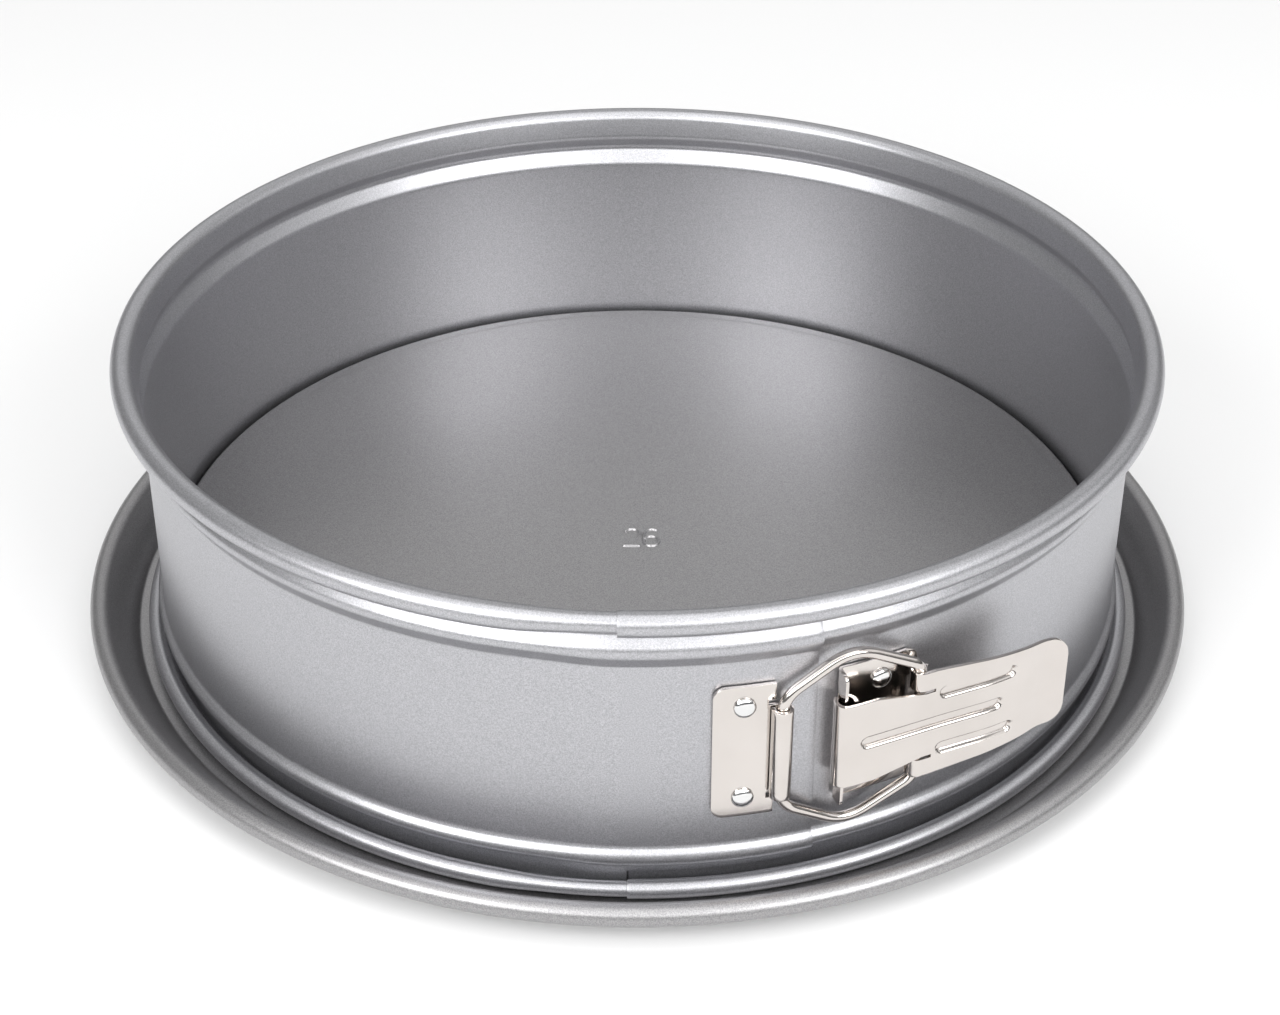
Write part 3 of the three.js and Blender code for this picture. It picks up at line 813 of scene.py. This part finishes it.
def rivet(name, node, body, azimuth, seat, height, inner):
    """Domed head on its plate, and a low set head inside the ring where there is room for one."""
    head = [
        (0, 0), (RIVET_HEAD * 0.96, 0), (RIVET_HEAD, 0.08),
        *[
            (RIVET_HEAD * math.cos(t) ** 0.8, 0.22 + (RIVET_DOME - 0.22) * math.sin(t))
            for t in np.linspace(0, math.pi / 2, 12)
        ],
    ]
    tail = [(0, 0), (2.0, 0), (2.1, -0.12), (1.9, -0.38), (1.2, -0.5), (0, -0.5)]
    sides = 28
    vertices, faces = [], []

    def turn(profile, foot, flip):
        start = len(vertices)
        for r, out in profile:
            for k in range(sides):
                angle = 2 * math.pi * k / sides
                plan = local(azimuth, foot, r * math.cos(angle), out)
                vertices.append((*plan, LATCH_Z + height + r * math.sin(angle)))
        turned = tube_faces(len(profile), sides, start)
        faces.extend(face[::-1] if flip else face for face in turned)

    turn(head, seat, False)
    if inner:
        turn(tail, inner, True)
    piece = new_object(name, vertices, faces)
    finish_solid(piece, merge=0.002)
    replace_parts(piece, node)
    return dress(piece, RIVET, body)


# ---------------------------------------------------------------- lever


def latch_lever():
    """One sheet: curl, narrow neck, handle with stamped ribs, and two ears that curl back round the wire."""
    curl = [local(PIVOT, PIVOT_RADIUS, p[0], p[1]) for p in arc(0, 0, CURL_BEND, 385, 90, 32)]
    shoulder = [local(PIVOT, PIVOT_RADIUS, 2.2, CURL_BEND)]
    body_points = [polar(a, r) for a, r in LEVER_LINE]
    bend_point = body_points[-2]
    body = curve_through(shoulder + body_points[:-1], 10)
    before = bend_point + (body[-8] - bend_point) / np.linalg.norm(body[-8] - bend_point) * LEVER_END_BEND
    onward = body_points[-1] - bend_point
    after = bend_point + onward / np.linalg.norm(onward) * LEVER_END_BEND
    bend = [(1 - t) ** 2 * before + 2 * t * (1 - t) * bend_point + t * t * after for t in np.linspace(0, 1, 9)]
    while np.linalg.norm(body[-1] - bend_point) < LEVER_END_BEND:
        body.pop()
    tail = resampled([curl[-1], *body, *bend, body_points[-1]], LEVER_SPACING)
    azimuths = np.array([azimuth_of(p) for p in tail])
    slot = int(np.argmin(np.abs(azimuths - SLOT_END)))
    path = curl + list(tail[1:])
    shift = len(curl) - 1
    rows = symmetric((SOLID_HALF, 30), (SHOULDER_HALF, 20), (EAR_INNER, 3), (WIDE_HALF, 10))
    heights = (rows[:-1] + rows[1:]) / 2
    run = np.concatenate([[0], np.cumsum(np.linalg.norm(np.diff(np.array(path), axis=0), axis=1))])
    flat = normals_of(np.array(path))
    all_azimuths = np.concatenate([[PIVOT] * shift, azimuths])

    def raised(i, z):
        """How far the stamped ribs lift the sheet at a point."""
        if i < shift:
            return 0.0
        height = 0.0
        for middle, first, last in RIBS:
            ends = np.interp([first, last], azimuths, run[shift:])
            beside = max(ends[0] + RIB_HALF - run[i], run[i] - ends[1] + RIB_HALF, 0)
            distance = math.hypot(beside, z - middle)
            height = max(height, RIB_HEIGHT * (1 - smooth(distance, RIB_HALF - RIB_EDGE, RIB_HALF + 0.05)))
        return height

    def half_at(i):
        """Half height of the neck, which narrows from the curl to the ears."""
        neck = LEVER_LINE[0][0]
        if i < shift or all_azimuths[i] < neck:
            return NARROW_HALF
        return NARROW_HALF + (SHOULDER_HALF - NARROW_HALF) * min((all_azimuths[i] - neck) / (EAR - neck), 1)

    def limit_at(i):
        """Half height of the handle, which narrows from its ears to its rounded end."""
        if run[-1] - run[i] < TIP_CORNER:
            return corner_limit(run[-1] - run[i], TIP_CORNER, TIP_HALF)
        share = (run[i] - run[shift + slot]) / (run[-1] - TIP_CORNER - run[shift + slot])
        return WIDE_HALF + (TIP_HALF - WIDE_HALF) * share

    def height_at(i, z):
        """Height of the mesh's row z where the path has come to point i."""
        if i < shift + slot:
            return rounded_rows(half_at(i), z, SHOULDER_HALF, SOLID_HALF) if abs(z) <= SHOULDER_HALF else z
        limit = limit_at(i)
        hold = RIB_SPACING + RIB_HALF
        if limit <= hold + 0.5:
            hold = 5
        return rounded_rows(limit, z, WIDE_HALF, hold)

    vertices = []
    for i, point in enumerate(path):
        for z in rows:
            height = height_at(i, z)
            x, y = point + flat[i] * raised(i, height)
            vertices.append((x, y, LATCH_Z + height))

    def keep(i, j):
        return abs(heights[j]) < SHOULDER_HALF or i >= shift + slot

    faces = grid_faces(len(path), len(rows), keep)

    # The ears carry on from the wide part past the slots, and curl back round the wire.
    ear_top = local(EAR, EAR_RADIUS, 0, EAR_BEND)
    flat_part = resampled([tail[slot], ear_top], LEVER_SPACING)
    ear_curl = [local(EAR, EAR_RADIUS, p[0], p[1]) for p in arc(0, 0, EAR_BEND, 90, 340, 30)]
    ear = list(flat_part) + ear_curl[1:]
    for sign in (-1, 1):
        ear_rows = [z for z in rows if sign * z >= EAR_INNER - 1e-6]
        first = len(vertices)
        for x, y in ear:
            vertices += [(x, y, LATCH_Z + z) for z in ear_rows]
        faces += grid_faces(len(ear), len(ear_rows), None, first)
    piece = new_object("latch_lever_visual", vertices, faces)
    finish_sheet(piece, LATCH_SHEET, edge=0.16, merge=0.02)
    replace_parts(piece, "latch_lever")
    return dress(piece, NICKEL, "lever")


# ---------------------------------------------------------------- bail


def bail():
    """One closed wire: its long leg turns in the knuckle, its short leg lies in the lever's ears."""
    start, end = polar(KNUCKLE, KNUCKLE_RADIUS), polar(EAR, EAR_RADIUS)
    reach = float(np.linalg.norm(end - start))
    direction = (end - start) / reach
    corners = [(0, 0, 0), *BAIL_LINE, (reach, BAIL_EAR_HEIGHT, BAIL_EAR_BEND), (reach, 0, 0)]
    upper = []
    for i, (distance, height, bend) in enumerate(corners):
        here = np.array([distance, height])
        if bend == 0:
            upper.append(here)
            continue
        back = np.array(corners[i - 1][:2]) - here
        forward = np.array(corners[i + 1][:2]) - here
        a = here + back / np.linalg.norm(back) * bend
        b = here + forward / np.linalg.norm(forward) * bend
        upper += [(1 - t) ** 2 * a + 2 * t * (1 - t) * here + t * t * b for t in np.linspace(0, 1, 12)]
    lower = [np.array([p[0], -p[1]]) for p in upper[-2:0:-1]]
    loop = np.array(upper + lower)
    forward = np.roll(loop, -1, axis=0) - np.roll(loop, 1, axis=0)
    forward /= np.linalg.norm(forward, axis=1)[:, None]
    sides = 24
    side_way = np.array([-direction[1], direction[0], 0])
    vertices = []
    for (distance, height), (fx, fz) in zip(loop, forward):
        centre = np.array([*(start + direction * distance), LATCH_Z + height])
        across = np.array([*(direction * -fz), fx])
        for k in range(sides):
            angle = 2 * math.pi * k / sides
            vertices.append(centre + WIRE_RADIUS * (math.cos(angle) * across + math.sin(angle) * side_way))
    faces = []
    for i in range(len(loop)):
        n = (i + 1) % len(loop)
        for k in range(sides):
            m = (k + 1) % sides
            faces.append((i * sides + k, n * sides + k, n * sides + m, i * sides + m))
    piece = new_object("bail_visual", vertices, faces)
    piece.data.shade_smooth()
    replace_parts(piece, "bail_wire", "bail_leg")
    return dress(piece, NICKEL, "bail")


# ---------------------------------------------------------------- build

base_plate()
floor_numeral()
wall_left()
wall_right()
roll_core(
    "top_roll_core", TOP_ROLL_RADIUS, TOP_ROLL_Z + TOP_SQUEEZE_LIFT, TOP_ROLL_BEND - TOP_SQUEEZE + RING_SHEET / 2,
    1.3, 0.8,
)
roll_core("foot_roll_core", FOOT_ROLL_RADIUS, FOOT_Z, FOOT_BEND - FOOT_SQUEEZE + RING_SHEET / 2, 0.75, 1.0)
keeper_plate()
latch_bracket()
for part, height in (("top", RIVET_OFFSET), ("bottom", -RIVET_OFFSET)):
    rivet(
        f"keeper_rivet_{part}_visual", f"keeper_rivet_{part}", "ring_left", KEEPER_RIVETS,
        KEEPER_RADIUS + LATCH_SHEET, height, 0,
    )
    rivet(
        f"bracket_rivet_{part}_visual", f"bracket_rivet_{part}", "ring_right", BRACKET_RIVETS,
        BRACKET_RADIUS + BRACKET_SHEET, height, WALL_RADIUS - RING_SHEET / 2,
    )
latch_lever()
bail()

# ---------------------------------------------------------------- stage, light and camera

TABLE_HALF = 6  # metres
floor_mesh = bpy.data.meshes.new("table")
corners = [(x * TABLE_HALF, y * TABLE_HALF, 0) for x, y in ((-1, -1), (1, -1), (1, 1), (-1, 1))]
floor_mesh.from_pydata(corners, [], [(0, 1, 2, 3)])
floor = bpy.data.objects.new("table", floor_mesh)
bpy.context.scene.collection.objects.link(floor)
floor_look = bpy.data.materials.new("table")
floor_look.use_nodes = True
floor_shader = floor_look.node_tree.nodes["Principled BSDF"]
floor_shader.inputs["Base Color"].default_value = (0.68, 0.68, 0.68, 1)
floor_shader.inputs["Roughness"].default_value = 0.9
floor_shader.inputs["Specular IOR Level"].default_value = 0.0
floor_shader.inputs["Emission Color"].default_value = (1, 1, 1, 1)
floor_shader.inputs["Emission Strength"].default_value = 0.13
floor_mesh.materials.append(floor_look)


def softbox(name, azimuth, elevation, distance, size, brightness):
    """An even rectangular light that faces the pan from a distance in metres. Brightness is its radiance."""
    light = bpy.data.lights.new(name, "AREA")
    light.shape = "RECTANGLE"
    light.size, light.size_y = size
    light.energy = brightness * math.pi * size[0] * size[1]
    lamp = bpy.data.objects.new(name, light)
    a, e = math.radians(azimuth), math.radians(elevation)
    way = Vector((math.sin(a) * math.cos(e), -math.cos(a) * math.cos(e), math.sin(e)))
    lamp.location = Vector((0, 0, 0.04)) + way * distance
    lamp.rotation_euler = (-way).to_track_quat("-Z", "Y").to_euler()
    bpy.context.scene.collection.objects.link(lamp)


softbox("softbox_left", -42, 34, 1.7, (0.8, 0.8), 8.0)
softbox("softbox_right", 42, 34, 1.7, (0.8, 0.8), 6.6)
softbox("front_fill", 0, 30, 1.95, (1.9, 0.6), 2.9)
softbox("right_fill", 92, 35, 1.9, (1.6, 0.9), 0.7)
softbox("back_fill", 180, 36, 1.95, (2.4, 1.0), 0.45)
softbox("overhead", 0, 80, 1.9, (2.4, 2.0), 1.45)

# The room is dark near the horizon and lighter above, which draws the dark lines along bright metal edges.
world = bpy.data.worlds.new("studio")
world.use_nodes = True
nodes, links = world.node_tree.nodes, world.node_tree.links
place = nodes.new("ShaderNodeTexCoord")
split = nodes.new("ShaderNodeSeparateXYZ")
ramp = nodes.new("ShaderNodeValToRGB")
ramp.color_ramp.elements[0].position, ramp.color_ramp.elements[0].color = 0.04, (0.06, 0.06, 0.06, 1)
ramp.color_ramp.elements[1].position, ramp.color_ramp.elements[1].color = 0.3, (0.36, 0.36, 0.36, 1)
links.new(place.outputs["Generated"], split.inputs[0])
links.new(split.outputs["Z"], ramp.inputs[0])
links.new(ramp.outputs[0], nodes["Background"].inputs["Color"])
nodes["Background"].inputs["Strength"].default_value = 1.0
bpy.context.scene.world = world
bpy.context.scene.view_settings.view_transform = "Standard"

# The photo's camera, fitted to the pan's circles.
camera = bpy.data.cameras.new("camera")
camera.sensor_width = 36
camera.lens = 69.35
camera.shift_x = 0.0021
camera.clip_start, camera.clip_end = 0.05, 30
eye = bpy.data.objects.new("camera", camera)
eye.location = (0, -0.5799, 0.4013)
eye.rotation_euler = (math.radians(90 - 33.01), 0, 0)
bpy.context.scene.collection.objects.link(eye)
bpy.context.scene.camera = eye
